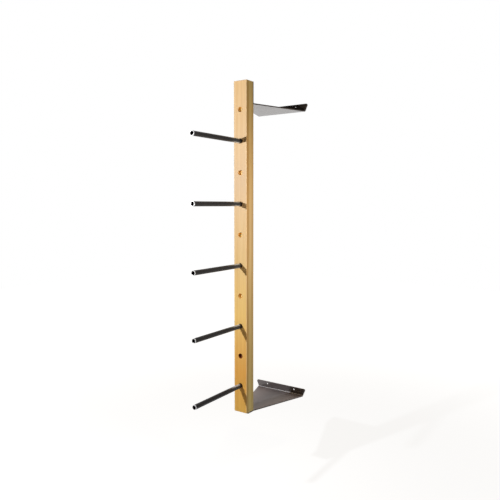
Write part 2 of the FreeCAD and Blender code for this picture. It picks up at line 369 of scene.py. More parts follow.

# %% [markdown]
# ## Finish: softwood
# A board's figure is a slice through nested growth rings. So the pattern is solid, as the wood
# is: rings round a pith that lies behind the post. The front face shows broad, quiet figure,
# the sides close stripes and the end grain arcs. The colour changes with height, partly the
# wood's own and partly painted light that makes up for the lamps' falloff towards the top and
# the foot, and the sides have a ramp of their own, painted to offset their weaker, warmer light.
# The sides have a redder band near the front and a greyer one near the back. Painted light
# makes the back paler, and a painted highlight runs along the long edges of the front and back.
# The bored holes carry painted light and shade: a brown mouth, pale walls further in, a floor
# lightened on one side and darkened on the other, a near-white vent, and the lowest holes darker.

# %% Softwood
RING_WIDTH = 0.0066
PITH = (0.011, post_high.y + 0.034, 0.0)
GRAIN_WANDER = (0.011, 0.011, 0.0)
SEASON = [(0.0, 0.05), (0.5, 0.12), (0.82, 0.62), (0.93, 1.0), (1.0, 0.1)]
# Painted light: these height ramps partly make up for the lamps' falloff towards the top and the foot, and
# the side ramp offsets the side's weaker, warmer light.
FRONT_COLOURS = [(0.0, colour(245, 194, 93)), (0.12, colour(244, 182, 87)), (0.30, colour(248, 209, 127)),
                 (0.45, colour(228, 195, 134)), (0.70, colour(225, 195, 156)), (1.0, colour(255, 217, 161))]
SIDE_COLOURS = [(0.0, colour(255, 244, 176)), (0.16, colour(255, 233, 166)), (0.36, colour(237, 214, 163)),
                (0.57, colour(220, 197, 159)), (0.82, colour(241, 211, 152)), (1.0, colour(244, 223, 154))]
LATEWOOD = colour(228, 205, 172)
RED_BAND = (0.71, 0.62, 0.46, 1.0)
PALE_BAND = (0.95, 1.0, 1.0, 1.0)
BACK_BAND = (0.79, 0.78, 0.69, 1.0)
SIDE_BANDS = [(0.0, (0.80, 0.70, 0.52, 1.0)), (0.16, RED_BAND), (0.24, RED_BAND), (0.36, PALE_BAND),
              (0.62, PALE_BAND), (0.78, BACK_BAND), (1.0, BACK_BAND)]
LINE_ON_FRONT, LINE_ON_SIDE = 0.42, 0.60
SQUARE_ON = (0.6, 0.9)
# Spans for a painted edge highlight and for painted light and shade in the sockets.
EDGE_HIGHLIGHT_BAND = (-0.0045, -0.0015)
HOLE_FADE, VENT_FADE = (0.0008, 0.0014), (0.0003, 0.0008)
MOUTH_FADE, FLOOR_FADE, BACK_FADE = (0.0010, 0.0030), (-0.0008, -0.0002), (-0.0010, -0.0005)
FLOOR_LIGHT_AND_SHADE_FADE = (-0.0045, 0.0020)
LOW_HOLE_SHADE_FADE = (0.23, 0.47)
WOOD_RELIEF = 0.00016


def off_socket_axis(tree, where):
    """Distance from the axis of the nearest socket, which is also the axis of its peg."""
    steps = calc(tree, "DIVIDE", calc(tree, "SUBTRACT", where["Z"], peg_heights[-1]), SOCKET_PITCH)
    above = calc(tree, "SUBTRACT", steps, calc(tree, "ROUND", steps))
    return vector_calc(tree, "LENGTH", at(tree, where["X"], times(tree, above, SOCKET_PITCH)))


def make_softwood():
    """Pale, thinly oiled softwood, solid through the post."""
    finish, tree, shader, place = new_finish("oiled_softwood", Specular_IOR_Level=0.38)
    wander = noise(tree, place, (2.5, 2.5, 0.9), 2.0, output="Color")
    wander = vector_calc(tree, "SUBTRACT", wander, (0.5, 0.5, 0.5))
    drawn = vector_calc(tree, "ADD", place, vector_calc(tree, "MULTIPLY", wander, GRAIN_WANDER))
    from_pith = vector_calc(tree, "SUBTRACT", drawn, PITH)
    across = vector_calc(tree, "LENGTH", vector_calc(tree, "MULTIPLY", from_pith, (1, 1, 0)))
    ripple = noise(tree, place, (38, 38, 1.6), 3.0)
    ring = plus(tree, calc(tree, "DIVIDE", across, RING_WIDTH), ripple)
    season = ramp(tree, calc(tree, "FRACT", ring), SEASON)
    year = put(tree, "ShaderNodeTexWhiteNoise", {"W": calc(tree, "FLOOR", ring)},
               noise_dimensions="1D").outputs["Value"]
    latewood = times(tree, season, remap(tree, year, 0.0, 1.0, 0.35, 1.0))

    facing = facing_of(tree)
    on_side = remap(tree, calc(tree, "ABSOLUTE", facing["X"]), *SQUARE_ON, smooth=True)
    on_end = remap(tree, calc(tree, "ABSOLUTE", facing["Z"]), *SQUARE_ON, smooth=True)
    on_back = remap(tree, facing["Y"], *SQUARE_ON, smooth=True)
    where = parts(tree, place)

    up_post = remap(tree, where["Z"], post_low.z, post_high.z)
    # Painted light: front and sides take different ramps, set for the light each face gets.
    early = mix(tree, on_side, ramp(tree, up_post, FRONT_COLOURS), ramp(tree, up_post, SIDE_COLOURS))
    late = mix(tree, 1.0, early, LATEWOOD, "MULTIPLY")
    line = remap(tree, on_side, 0.0, 1.0, LINE_ON_FRONT, LINE_ON_SIDE)
    wood = mix(tree, times(tree, latewood, line), early, late)

    streak = noise(tree, place, (130, 130, 2.2), 3.0, 0.6)
    wood = mix(tree, remap(tree, streak, 0.42, 0.72, 0.0, 0.30), wood, late)
    fibre = noise(tree, place, (620, 620, 9), 4.0, 0.6)
    shade = remap(tree, fibre, 0.25, 0.75, 0.90, 1.06)
    wood = mix(tree, 1.0, wood, at(tree, shade, shade, shade), "MULTIPLY")
    drift = noise(tree, place, (6, 6, 3.0), 3.0)
    into_post = remap(tree, where["Y"], post_low.y, post_high.y)
    into_post = plus(tree, into_post, times(tree, calc(tree, "SUBTRACT", drift, 0.5), 0.30))
    band = ramp(tree, into_post, SIDE_BANDS)
    wood = mix(tree, on_side, wood, mix(tree, 1.0, wood, band, "MULTIPLY"))
    off_middle = calc(tree, "ABSOLUTE", where["X"])
    # Painted highlight: a pale strip along the long edges of the front and back faces.
    edge_highlight = beyond(tree, off_middle, post_high.x, *EDGE_HIGHLIGHT_BAND, 0.0, 0.4)
    edge_highlight = times(tree, edge_highlight, calc(tree, "SUBTRACT", 1.0, on_side))
    wood = mix(tree, edge_highlight, wood, colour(255, 232, 196))
    # Painted light: the back face, lit only by the room, is mixed towards a paler, greyer tone.
    wood = mix(tree, times(tree, on_back, 0.60), wood, colour(236, 228, 212))

    pores = remap(tree, noise(tree, place, (950, 950, 14), 2.0), 0.58, 0.72)
    end_tone = mix(tree, pores, colour(196, 148, 92), colour(150, 104, 56))
    wood = mix(tree, times(tree, on_end, 0.55), wood, end_tone)

    # Painted light and shade in the sockets: a brown mouth, pale walls further in, a floor lighter on the
    # left and darker on the right, the lowest holes darker, and a near-white vent.
    from_axis = off_socket_axis(tree, where)
    within = beyond(tree, from_axis, SOCKET_RADIUS, *HOLE_FADE, 1.0, 0.0)
    inside = beyond(tree, where["Y"], post_low.y, *MOUTH_FADE)
    at_floor = beyond(tree, where["Y"], post_low.y + SOCKET_DEPTH, *FLOOR_FADE)
    off_back = beyond(tree, where["Y"], post_high.y, *BACK_FADE, 1.0, 0.0)
    socket_light_and_shade = mix(tree, inside, colour(200, 146, 84), colour(255, 222, 156))
    floor_light_and_shade = remap(tree, where["X"], *FLOOR_LIGHT_AND_SHADE_FADE)
    socket_light_and_shade = mix(tree, at_floor, socket_light_and_shade, mix(tree, floor_light_and_shade, colour(255, 226, 140), colour(196, 150, 80)))
    above_low_hole_shade = remap(tree, where["Z"], *LOW_HOLE_SHADE_FADE, smooth=True)
    socket_light_and_shade = mix(tree, calc(tree, "SUBTRACT", 1.0, above_low_hole_shade), socket_light_and_shade, colour(150, 84, 38))
    in_vent = beyond(tree, from_axis, VENT_RADIUS, *VENT_FADE, 1.0, 0.0)
    socket_light_and_shade = mix(tree, in_vent, socket_light_and_shade, colour(255, 246, 214))
    wood = mix(tree, times(tree, within, off_back), wood, socket_light_and_shade)

    gloss = weighed(tree, fibre, 0.16, latewood, -0.07)
    rough = plus(tree, plus(tree, gloss, 0.44), times(tree, on_end, 0.22))
    drive(tree, shader, Base_Color=wood, Roughness=rough)
    bump(tree, shader, weighed(tree, fibre, 0.6, latewood, 0.5), WOOD_RELIEF)
    return finish


softwood = make_softwood()
print("finish", softwood.name)

# %% [markdown]
# ## Finish: bracket sheet
# The brackets are cut from hot-rolled sheet and have a thin satin coat. Under the coat the
# mill scale shows as soft clouds and as faint drawn lines along the wall, the way the sheet
# went through the rolls. The coat itself is not quite flat, so highlights break up. Dust has
# settled on the faces that look up and dulls the coat there; away from the middle its pale
# tone is raised further as painted light, where the post's shadow falls on the lower plate.
# The hollow of each fold at the wall, which looks forward and up, carries a painted highlight.

# %% Bracket sheet
# Spans for dust, for painted light off the middle and for the painted fold highlight.
LOOKING_UP = (0.6, 0.95)
DUST_AND_LIGHT_SPAN = (0.01, 0.08)
LEAST_DUST, MOST_DUST_AND_LIGHT = 0.13, 0.62
CLEAN_COAT, DUSTY_COAT = 0.14, 0.50
FOLD_HIGHLIGHT_SPAN = (0.22, 0.42)
SHEET_RELIEF = 0.00004


def make_bracket_finish():
    """Dark grey sheet: clouds of scale, rolling lines, a satin coat, dust, painted light off the middle and
    painted highlights in the folds.
    """
    finish, tree, shader, place = new_finish(
        "satin_scale_sheet", Specular_IOR_Level=0.9, Specular_Tint=(1.0, 0.91, 0.90, 1.0),
        Coat_Weight=0.22)
    clouds = noise(tree, place, (16, 22, 22), 5.0, 0.6)
    rolled = noise(tree, place, (9, 420, 420), 3.0, 0.55)
    specks = noise(tree, place, (900, 900, 900), 2.0)
    tone = weighed(tree, clouds, 0.62, rolled, 0.38)
    sheet = mix(tree, remap(tree, tone, 0.36, 0.66), colour(72, 68, 70), colour(100, 95, 97))
    blue = remap(tree, noise(tree, place, (30, 41, 37), 3.0), 0.52, 0.68, 0.0, 0.35)
    sheet = mix(tree, blue, sheet, colour(64, 68, 74))

    facing = facing_of(tree)
    topside = remap(tree, facing["Z"], *LOOKING_UP, smooth=True)
    dust_and_painted_light = remap(tree, specks, 0.60, 0.72, 0.0, 0.22)
    off_middle = calc(tree, "ABSOLUTE", parts(tree, place)["X"])
    # Dust, raised away from the middle as painted light where the post's shadow falls.
    dust_and_light_off_middle = remap(tree, off_middle, *DUST_AND_LIGHT_SPAN, LEAST_DUST, MOST_DUST_AND_LIGHT)
    dust_and_painted_light = plus(tree, dust_and_painted_light, times(tree, topside, dust_and_light_off_middle))
    sheet = mix(tree, dust_and_painted_light, sheet, colour(152, 142, 146))
    coat = remap(tree, topside, 0.0, 1.0, CLEAN_COAT, DUSTY_COAT)
    # Painted highlight: the hollow of each wall fold is mixed to a pale colour.
    forward = calc(tree, "MINIMUM", facing["Y"], 0.0)
    upward = calc(tree, "MINIMUM", times(tree, facing["Z"], -1.0), 0.0)
    fold_highlight = remap(tree, times(tree, forward, upward), *FOLD_HIGHLIGHT_SPAN, smooth=True)
    pale_metal_and_highlight = times(tree, fold_highlight, remap(tree, tone, 0.3, 0.6, 0.55, 1.0))
    sheet = mix(tree, pale_metal_and_highlight, sheet, colour(206, 208, 216))
    rough = plus(tree, times(tree, clouds, 0.12), 0.16)
    rough = plus(tree, rough, times(tree, rolled, 0.06))
    rough = plus(tree, rough, times(tree, topside, 0.34))
    drive(tree, shader, Base_Color=sheet, Roughness=rough, Coat_Roughness=coat)
    bump(tree, shader, weighed(tree, rolled, 0.5, specks, 0.5), SHEET_RELIEF)
    return finish


bracket_sheet = make_bracket_finish()
print("finish", bracket_sheet.name)

# %% [markdown]
# ## Finishes: black tube and its sawn end
# The tubes are blackened and waxed: nearly black, with a cool sheen where light grazes them.
# Use draws fine lines along them. On top and below they are rubbed over the last 110
# millimetres before the post, with more lines and more wax there, and over the last 75 a pale
# blue painted highlight sits on top and below. In the last 10 to 15 millimetres, and inside
# the socket, they are black again. The ends were sawn after blackening, so the cut is bright,
# and a file left a bright band of 3 millimetres behind it.

# %% Black tube and sawn end
# The rubbed stretch also carries a painted highlight, pale blue, on top and below.
RUB_AND_HIGHLIGHT_STARTS, HIGHLIGHT_STARTS, RUB_AND_HIGHLIGHT_ENDS = (-0.110, -0.030), (-0.075, -0.040), (-0.015, -0.010)
TOP_OR_BELOW = (0.50, 0.95)
FILED_BAND = (0.0030, 0.0036)
OUTSIDE_FADE = (-0.0012, -0.0008)
METAL_RELIEF = 0.00003


def make_tube_finish():
    """Blackened tube: lines drawn along it, a rubbed stretch near the post with a painted highlight, a
    filed tip.
    """
    finish, tree, shader, place = new_finish("blackened_tube", Coat_Roughness=0.12)
    drawn = noise(tree, place, (1400, 5, 1400), 4.0, 0.65)
    patches = noise(tree, place, (70, 24, 70), 4.0, 0.6)
    where = parts(tree, place)
    along = where["Y"]
    rub_and_highlight = times(tree, beyond(tree, along, post_low.y, *RUB_AND_HIGHLIGHT_STARTS, smooth=True),
                   beyond(tree, along, post_low.y, *RUB_AND_HIGHLIGHT_ENDS, 1.0, 0.0))
    tilt = calc(tree, "ABSOLUTE", facing_of(tree)["Z"])
    rub_and_highlight = times(tree, rub_and_highlight, remap(tree, tilt, *TOP_OR_BELOW, 0.06, 1.0, smooth=True))
    # Painted highlight: pale blue on top and below over the last stretch before the post.
    painted_highlight = times(tree, rub_and_highlight, beyond(tree, along, post_low.y, *HIGHLIGHT_STARTS))
    black = mix(tree, remap(tree, patches, 0.35, 0.7), colour(16, 14, 18), colour(29, 26, 31))
    lines = remap(tree, drawn, remap(tree, rub_and_highlight, 0.0, 1.0, 0.56, 0.30), 0.78)
    pale_metal_and_highlight = times(tree, lines, remap(tree, rub_and_highlight, 0.0, 1.0, 0.25, 0.45))
    tube = mix(tree, pale_metal_and_highlight, black, colour(112, 114, 124))
    tube = mix(tree, times(tree, painted_highlight, 0.90), tube, colour(200, 220, 252))
    filed = beyond(tree, along, peg_low.y, *FILED_BAND, 1.0, 0.0)
    outside = beyond(tree, off_socket_axis(tree, where), PEG_RADIUS, *OUTSIDE_FADE)
    filed = times(tree, filed, outside)
    tube = mix(tree, filed, tube, colour(222, 232, 250))
    pale_metal_and_highlight = calc(tree, "MAXIMUM", pale_metal_and_highlight, times(tree, filed, 0.45))
    sheen = remap(tree, rub_and_highlight, 0.0, 1.0, 0.22, 0.8)
    rough = plus(tree, times(tree, patches, 0.18), 0.27)
    rough = plus(tree, rough, times(tree, drawn, 0.08))
    drive(tree, shader, Coat_Weight=rub_and_highlight, Specular_IOR_Level=sheen, Base_Color=tube,
          Metallic=times(tree, pale_metal_and_highlight, 0.8), Roughness=rough)
    bump(tree, shader, plus(tree, drawn, times(tree, patches, 0.6)), METAL_RELIEF)
    return finish


def make_sawn_finish():
    """Bright steel with the saw's parallel scratches."""
    finish, tree, shader, place = new_finish("sawn_steel", Metallic=0.75)
    scratches = noise(tree, place, (90, 90, 2600), 3.0, 0.6)
    blotch = noise(tree, place, (240, 240, 240), 3.0)
    tone = weighed(tree, scratches, 0.6, blotch, 0.4)
    steel = mix(tree, remap(tree, tone, 0.35, 0.65), colour(214, 215, 219), colour(246, 246, 245))
    drive(tree, shader, Base_Color=steel, Roughness=plus(tree, times(tree, scratches, 0.2), 0.30))
    bump(tree, shader, scratches, METAL_RELIEF)
    return finish


black_tube = make_tube_finish()
sawn_steel = make_sawn_finish()
print("finishes", black_tube.name, sawn_steel.name)

# %% [markdown]
# ## Finish: zinc
# Screws and washers are zinc-plated. The plating is bright but cloudy, with a faint straw and
# blue tint that changes from place to place.


# %% Zinc plate
def make_zinc_finish():
    """Cloudy zinc plate with a faint straw and blue tint."""
    finish, tree, shader, place = new_finish("zinc_plate", Metallic=1.0)
    clouds = noise(tree, place, (160, 160, 160), 4.0, 0.6)
    tint = noise(tree, place, (70, 70, 70), 2.0)
    zinc = mix(tree, remap(tree, tint, 0.4, 0.62), colour(186, 188, 194), colour(200, 192, 168))
    zinc = mix(tree, remap(tree, clouds, 0.35, 0.7, 0.0, 0.5), zinc, colour(132, 132, 134))
    drive(tree, shader, Base_Color=zinc, Roughness=plus(tree, times(tree, clouds, 0.3), 0.18))
    bump(tree, shader, clouds, METAL_RELIEF)
    return finish


zinc_plate = make_zinc_finish()
print("finish", zinc_plate.name)

# %% [markdown]
# ## Growing a piece from Geometry Nodes
# What repeats, or follows a rule, comes from a node tree: the tree is the rule, and its named
# inputs are the sizes. The tree's result is turned into a plain mesh at once, so what the
# library keeps is a mesh and not a recipe.


# %% Helpers for Geometry Nodes
def new_rule(name, **sizes):
    """A Geometry Nodes tree with one named input for each size."""
    rule = bpy.data.node_groups.new(name, "GeometryNodeTree")
    rule.interface.new_socket(name="Geometry", in_out="OUTPUT", socket_type="NodeSocketGeometry")
    for label, value in sizes.items():
        kind = "NodeSocketInt" if isinstance(value, int) else "NodeSocketFloat"
        socket = rule.interface.new_socket(name=label, in_out="INPUT", socket_type=kind)
        socket.default_value = value
    given = rule.nodes.new("NodeGroupInput")
    return rule, given.outputs


def end_rule(rule, geometry, finish):
    """Ends a tree the way the export needs it: real geometry, with its material."""
    real = put(rule, "GeometryNodeRealizeInstances", {"Geometry": geometry})
    painted = put(rule, "GeometryNodeSetMaterial", {"Geometry": real.outputs[0], "Material": finish})
    put(rule, "NodeGroupOutput", {0: painted.outputs[0]})


def settled(piece):
    """Turns a piece and its modifiers into one plain mesh."""
    seen = piece.evaluated_get(bpy.context.evaluated_depsgraph_get())
    mesh = bpy.data.meshes.new_from_object(seen)
    piece.modifiers.clear()
    piece.data = mesh
    return piece


def grown(rule, name, finish, **sizes):
    """A plain mesh from a tree, with its sizes set on the modifier's sockets."""
    piece = bpy.data.objects.new(name, bpy.data.meshes.new(name))
    scene.collection.objects.link(piece)
    growth = piece.modifiers.new("growth", "NODES")
    growth.node_group = rule
    for item in rule.interface.items_tree:
        if item.in_out == "INPUT" and item.name in sizes:
            growth[item.identifier] = sizes[item.name]
    settled(piece)
    piece.data.materials.clear()
    piece.data.materials.append(finish)
    return piece


# %% [markdown]
# ## Edges and shading
# No made part has a perfectly sharp edge, and a tiny round one is what catches the light. A
# Bevel modifier rounds each edge that is sharper than a given angle, and Weighted Normal keeps
# the big faces flat in shade although they share points with the rounding.


# %% Helpers for edges
EDGE_STEPS = 2
SHARPER_THAN = math.radians(35)


def soften(piece, radius):
    """Rounds the sharp edges and leaves one plain mesh with good shading."""
    for face in piece.data.polygons:
        face.use_smooth = True
    edge = piece.modifiers.new("edge", "BEVEL")
    edge.width = radius
    edge.segments = EDGE_STEPS
    edge.limit_method = "ANGLE"
    edge.angle_limit = SHARPER_THAN
    edge.miter_outer = "MITER_ARC"
    shading = piece.modifiers.new("shading", "WEIGHTED_NORMAL")
    shading.keep_sharp = True
    shading.weight = 60
    return settled(piece)


def shaded(piece, angle=40.0):
    """Smooth shading that keeps real edges and flat faces."""
    for face in piece.data.polygons:
        face.use_smooth = True
    piece.data.set_sharp_from_angle(angle=math.radians(angle))
    shading = piece.modifiers.new("shading", "WEIGHTED_NORMAL")
    shading.keep_sharp = True
    return settled(piece)


def hand_over(piece, body, slot, *nodes):
    """Lets a piece stand for its CAD nodes and ride on their body."""
    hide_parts(*nodes)
    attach(piece, body)
    faces = len(piece.data.polygons)
    size = [round(1000 * v, 1) for v in piece.dimensions]
    print(piece.name, "on", body, faces, "faces", size, "mm")


# %% [markdown]
# ## The post
# The post is a straight length of timber with its long edges eased, and a row of equal sockets
# down its front. That is a rule with a count and a pitch, so it is a node tree: a rounded
# rectangle is swept up the height, one boring bit is repeated at the pitch, and a Mesh Boolean
# takes the bits out. The bit is three plain solids: the socket, its chamfered mouth, and the
# thin hole that its point leaves through the back. The screws' pilot holes go the same way,
# and so does the shallow rebate that takes the upper bracket's flange flush with the back.

# %% Helpers for solids in a node tree
def moved(rule, solid, height=0.0, turn=(0.0, 0.0, 0.0)):
    """A solid turned about the origin and raised."""
    values = {"Geometry": solid, "Translation": at(rule, z=height), "Rotation": turn}
    return put(rule, "GeometryNodeTransform", values).outputs[0]


def cylinder(rule, sides, radius, depth):
    """A closed cylinder, centred."""
    values = {"Vertices": sides, "Radius": radius, "Depth": depth}
    return put(rule, "GeometryNodeMeshCylinder", values).outputs[0]


def cone(rule, sides, bottom, top, depth):
    """A closed cone that stands on the origin."""
    values = {"Vertices": sides, "Radius Top": top, "Depth": depth, "Radius Bottom": bottom}
    return put(rule, "GeometryNodeMeshCone", values).outputs[0]


def rounded_outline(rule, width, height, steps, radius):
    """A rectangle with rounded corners."""
    plain = put(rule, "GeometryNodeCurvePrimitiveQuadrilateral",
                {"Width": width, "Height": height}, mode="RECTANGLE")
    values = {"Curve": plain.outputs[0], "Count": steps, "Radius": radius}
    return put(rule, "GeometryNodeFilletCurve", values, mode="POLY").outputs[0]


def bits(rule, count, start, step, solid, turn):
    """One cutter repeated along a line."""
    line = put(rule, "GeometryNodeMeshLine",
               {"Count": count, "Start Location": start, "Offset": step}, mode="OFFSET")
    row = put(rule, "GeometryNodeInstanceOnPoints",
              {"Points": line.outputs[0], "Instance": moved(rule, solid, turn=turn)})
    return put(rule, "GeometryNodeRealizeInstances", {"Geometry": row.outputs[0]}).outputs[0]


def bit(rule, sides, radius, depth):
    """A plain cutter that reaches its depth to both sides of where it is put."""
    return cylinder(rule, sides, radius, times(rule, depth, 2.0))


# %% Node tree of the drilled post
MOUTH_FLARE = 0.0008
LAG_RADIUS = 0.00315
LAG_BITE = 0.0344
LAG_STEP = 0.037
LAG_ABOVE_PLATE = 0.025
LAG_HEIGHT = upper_low.z + SHEET + LAG_ABOVE_PLATE
WOOD_SCREW_RADIUS = 0.0028
WOOD_SCREW_BITE = 0.0453
WOOD_SCREW_STEP = 0.032
SOCKET_SIDES, VENT_SIDES, PILOT_SIDES = 64, 20, 24
EASE_STEPS = 7
BREAK_THROUGH = 0.01
REBATE_WIDTH = 0.2
QUARTER = math.radians(90)


def drilled_post_rule():
    """A rounded rectangle swept up the height, less what is bored and cut out of it."""
    rule, size = new_rule("drilled_post", Width=0.06, Depth=0.05, Height=1.0, Ease=0.002, Front=0.0,
                          Foot=0.0, Sockets=10, First=0.1, Pitch=0.1, Radius=0.01, Bore=0.04,
                          Flare=0.001, Vent=0.001, Lag=0.003, Screw=0.003, Rebate=0.9)
    eased = rounded_outline(rule, size["Width"], size["Depth"], EASE_STEPS, size["Ease"])
    middle = plus(rule, size["Front"], times(rule, size["Depth"], 0.5))
    back = plus(rule, size["Front"], size["Depth"])
    top = plus(rule, size["Foot"], size["Height"])
    upright = put(rule, "GeometryNodeCurvePrimitiveLine",
                  {"Start": at(rule, 0, middle, size["Foot"]), "End": at(rule, 0, middle, top)})
    timber = put(rule, "GeometryNodeCurveToMesh",
                 {"Curve": upright.outputs[0], "Profile Curve": eased, "Fill Caps": True})
    row = size["Sockets"], at(rule, 0, size["Front"], size["First"]), at(rule, 0, 0, size["Pitch"])
    mouth = cone(rule, SOCKET_SIDES, plus(rule, size["Radius"], size["Flare"]), size["Radius"],
                 size["Flare"])
    through = plus(rule, size["Depth"], BREAK_THROUGH)
    tall = times(rule, calc(rule, "SUBTRACT", top, size["Rebate"]), 2.0)
    rebate = put(rule, "GeometryNodeMeshCube", {"Size": at(rule, REBATE_WIDTH, 2 * SHEET, tall)})
    first_screw = at(rule, -WOOD_SCREW_STEP / 2, tongue_middle, size["Foot"])
    cutters = [
        bits(rule, *row, bit(rule, SOCKET_SIDES, size["Radius"], size["Bore"]), (QUARTER, 0, 0)),
        bits(rule, *row, mouth, (-QUARTER, 0, 0)),
        bits(rule, *row, bit(rule, VENT_SIDES, size["Vent"], through), (QUARTER, 0, 0)),
        bits(rule, 2, at(rule, 0, back, LAG_HEIGHT), (0, 0, LAG_STEP),
             bit(rule, PILOT_SIDES, size["Lag"], LAG_BITE), (QUARTER, 0, 0)),
        bits(rule, 2, first_screw, (WOOD_SCREW_STEP, 0, 0),
             bit(rule, PILOT_SIDES, size["Screw"], WOOD_SCREW_BITE), (0, 0, 0)),
        bits(rule, 1, at(rule, 0, back, top), (0, 0, 0), rebate.outputs[0], (0, 0, 0)),
    ]
    values = {"Mesh 1": timber.outputs[0], "Mesh 2": cutters}
    drilled = put(rule, "GeometryNodeMeshBoolean", values, operation="DIFFERENCE", solver="EXACT")
    end_rule(rule, drilled.outputs["Mesh"], softwood)
    return rule


# %% Grow the post and round its ends
POST_EASE = 0.002
END_ROUND = 0.001
END_STEPS = 3
AT_END = 1e-5
OUTER_EDGE = math.radians(60)
SCREW_SURROUND = 0.006
POST_SHARP = 32.0
tongue_middle = (lower_low.y + post_high.y) / 2

post = grown(drilled_post_rule(), "post_timber", softwood,
             Width=post_high.x - post_low.x, Depth=post_high.y - post_low.y,
             Height=post_high.z - post_low.z, Ease=POST_EASE, Front=post_low.y, Foot=post_low.z,
             Sockets=SOCKET_COUNT, First=peg_heights[-1], Pitch=SOCKET_PITCH,
             Radius=SOCKET_RADIUS, Bore=SOCKET_DEPTH, Flare=MOUTH_FLARE, Vent=VENT_RADIUS,
             Lag=LAG_RADIUS, Screw=WOOD_SCREW_RADIUS, Rebate=upper_low.z)
mesh = bmesh.new()
mesh.from_mesh(post.data)
ends = []
for edge in mesh.edges:
    levels = [vertex.co.z for vertex in edge.verts]
    at_end = min(levels) > post_high.z - AT_END or max(levels) < post_low.z + AT_END
    outside = edge.calc_face_angle(0.0) > OUTER_EDGE
    off_screws = (edge.verts[0].co.xy - Vector((0, tongue_middle))).length
    in_hole = off_screws < WOOD_SCREW_STEP / 2 + SCREW_SURROUND
    if at_end and outside and not in_hole:
        ends.append(edge)
bmesh.ops.bevel(mesh, geom=ends, offset=END_ROUND, segments=END_STEPS, profile=0.5, affect="EDGES")
mesh.to_mesh(post.data)
mesh.free()
shaded(post, POST_SHARP)
print("rounded", len(ends), "end edges")
hand_over(post, "rack", "wood", "post")

# %% [markdown]
# ## The brackets
# Each bracket is one sheet, cut to a tapering outline and folded. The script walks along its
# section, from one end of the sheet to the other, and notes at each step where the middle of
# the sheet is, which way it faces, and how wide the cut sheet is there. Joining the steps
# gives a closed plate with true bends, and the taper carries on round the fold as it does in
# real sheet.


# %% Walk along a folded sheet
FOLD_RADIUS = 0.004
FOLD_STEPS, CORNER_STEPS = 12, 6
TAPER_WIDTH = 0.24765
half_post = (post_high.x - post_low.x) / 2


def fold(centre, start_angle, end_angle):
    """Middle line of a fold: its places, and the direction across the sheet, both as (y, z)."""
    reach = FOLD_RADIUS + SHEET / 2
    walk = []
    for index in range(FOLD_STEPS + 1):
        angle = math.radians(start_angle + (end_angle - start_angle) * index / FOLD_STEPS)
        out = Vector((math.cos(angle), math.sin(angle)))
        walk.append((Vector(centre) + reach * out, out))
    return walk


def rounded_end(length, half, flare, radius):
    """Places near a straight end with rounded corners: (distance along, half width there)."""
    lean = math.atan(flare)
    middle = half - flare * radius - radius / math.cos(lean)
    marks = []
    for index in range(CORNER_STEPS + 1):
        turn = -lean + (math.radians(90) + lean) * index / CORNER_STEPS
        marks.append((length - radius + radius * math.sin(turn), middle + radius * math.cos(turn)))
    return marks


def plate_from_walk(name, walk, finish):
    """Closes a walk of (place, direction across the sheet, half width) into a solid plate."""
    mesh = bmesh.new()
    rings = []
    for place, out, half in walk:
        ring = []
        for side, skin in ((-1, 1), (1, 1), (1, -1), (-1, -1)):
            point = place + out * (skin * SHEET / 2)
            ring.append(mesh.verts.new((side * half, point.x, point.y)))
        rings.append(ring)
    for first, second in zip(rings, rings[1:]):
        for index in range(4):
            following = (index + 1) % 4
            mesh.faces.new((first[index], first[following], second[following], second[index]))
    mesh.faces.new(rings[0])
    mesh.faces.new(rings[-1])
    bmesh.ops.recalc_face_normals(mesh, faces=mesh.faces)
    piece = bpy.data.objects.new(name, bpy.data.meshes.new(name))
    mesh.to_mesh(piece.data)
    mesh.free()
    scene.collection.objects.link(piece)
    piece.data.materials.append(finish)
    return piece


# %% Widths and sections of the two brackets
WALL_FLANGE = 0.030
FLANGE_CORNER = 0.006
TONGUE_CORNER = 0.003


def wall_end(plate_top, square_to):
    """The taper, the fold at the wall and the wall flange, as steps of a walk."""
    slope = (TAPER_WIDTH / 2 - half_post) / -square_to
    bend = SHEET + FOLD_RADIUS
    at_bend = TAPER_WIDTH / 2 - slope * bend
    flare = slope * (WALL_FLANGE + bend) / WALL_FLANGE
    walk = [(Vector((square_to, plate_top - SHEET / 2)), Vector((0, -1)), half_post)]
    for place, out in fold((-bend, plate_top + FOLD_RADIUS), -90, 0):
        walk.append((place, out, at_bend + flare * max(0.0, place.y - plate_top)))
    for height, half in rounded_end(WALL_FLANGE, at_bend + flare * WALL_FLANGE, flare, FLANGE_CORNER):
        walk.append((Vector((-SHEET / 2, plate_top + height)), Vector((1, 0)), half))
    return walk


def lower_walk():
    """From the front of the tongue to the top of the wall flange."""
    top = post_low.z
    walk = []
    for mark, half in reversed(rounded_end(0.0, half_post, 0.0, TONGUE_CORNER)):
        walk.append((Vector((lower_low.y - mark, top - SHEET / 2)), Vector((0, -1)), half))
    return walk + wall_end(top, post_high.y)


def upper_walk():
    """From the top of the post flange, down it, along the plate and up the wall flange."""
    top = upper_low.z + SHEET
    square_to = post_high.y + FOLD_RADIUS
    walk = [(Vector((post_high.y - SHEET / 2, post_high.z)), Vector((-1, 0)), half_post)]
    for place, out in fold((square_to, top + FOLD_RADIUS), 180, 270):
        walk.append((place, out, half_post))
    return walk + wall_end(top, square_to)[1:]


print("lower section", len(lower_walk()), "steps; upper section", len(upper_walk()), "steps")

# %% Cut the holes and round the edges
LOWER_WALL_HOLE, UPPER_WALL_HOLE = 0.00375, 0.00225
WALL_HOLE_STEP = 0.145
WALL_HOLE_HEIGHT = 0.019
LAG_HOLE_RADIUS = 0.00345
SEAT_WIDE = 0.005675
SEAT_NARROW = 0.002925
SEAT_LEAN = math.radians(41)
SEAT_DEEP = (SEAT_WIDE - SEAT_NARROW) / math.tan(SEAT_LEAN)
SHEET_EDGE = 0.0004
HOLE_SIDES = 48


